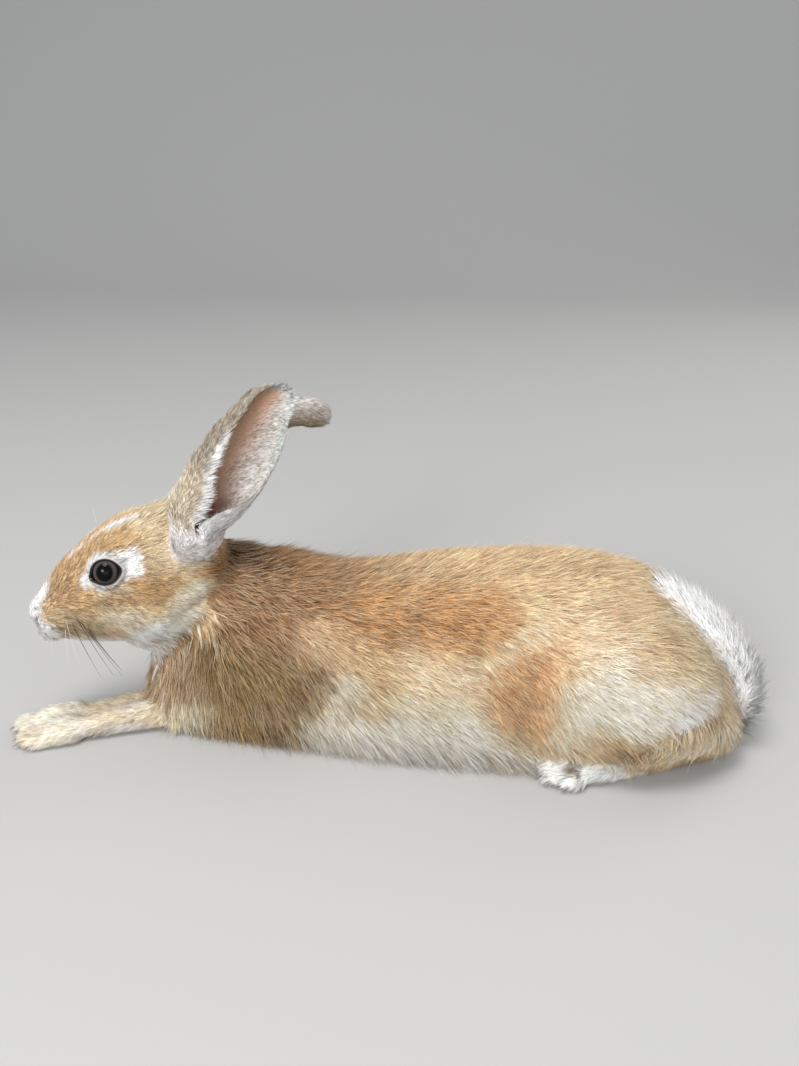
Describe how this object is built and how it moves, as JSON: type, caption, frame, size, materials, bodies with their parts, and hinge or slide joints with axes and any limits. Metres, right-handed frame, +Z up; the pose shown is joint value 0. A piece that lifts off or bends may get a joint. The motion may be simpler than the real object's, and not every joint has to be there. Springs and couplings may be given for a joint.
{
  "type": "rabbit",
  "caption": "Life-size still model of a young fawn rabbit, lying stretched out on its belly with its head and ears up and its tail raised along the rump.",
  "frame": {"origin": "on the floor under the belly, at the middle of the trunk", "axes": "+Z up; -X towards the head, +X towards the tail; -Y is the animal's left"},
  "size_m": [0.3721, 0.1172, 0.1784],
  "materials": {
    "coat_fawn": "short dense fur",
    "coat_cream": "short dense fur",
    "coat_white": "long soft fur",
    "ear_coat": "thin short fur over skin",
    "eye_black": "wet gloss",
    "claw_horn": "horn"
  },
  "bodies": {
    "root": {"chest": "coat_fawn", "ear_left": "ear_coat", "ear_right": "ear_coat", "eye_left": "eye_black", "eye_right": "eye_black", "forearm_left": "coat_fawn", "forearm_right": "coat_fawn", "forepaw_left": "coat_cream", "forepaw_left_claw_1": "claw_horn", "forepaw_left_claw_2": "claw_horn", "forepaw_left_claw_3": "claw_horn", "forepaw_left_claw_4": "claw_horn", "forepaw_right": "coat_cream", "forepaw_right_claw_1": "claw_horn", "forepaw_right_claw_2": "claw_horn", "forepaw_right_claw_3": "claw_horn", "forepaw_right_claw_4": "claw_horn", "haunch_left": "coat_fawn", "haunch_right": "coat_fawn", "head": "coat_fawn", "hind_foot_left": "coat_cream", "hind_foot_left_claw_1": "claw_horn", "hind_foot_left_claw_2": "claw_horn", "hind_foot_left_claw_3": "claw_horn", "hind_foot_left_claw_4": "claw_horn", "hind_foot_right": "coat_cream", "hind_foot_right_claw_1": "claw_horn", "hind_foot_right_claw_2": "claw_horn", "hind_foot_right_claw_3": "claw_horn", "hind_foot_right_claw_4": "claw_horn", "loin": "coat_fawn", "neck": "coat_fawn", "rump": "coat_fawn", "shoulder_left": "coat_fawn", "shoulder_right": "coat_fawn", "tail": "coat_white"}
  },
  "joints": []
}
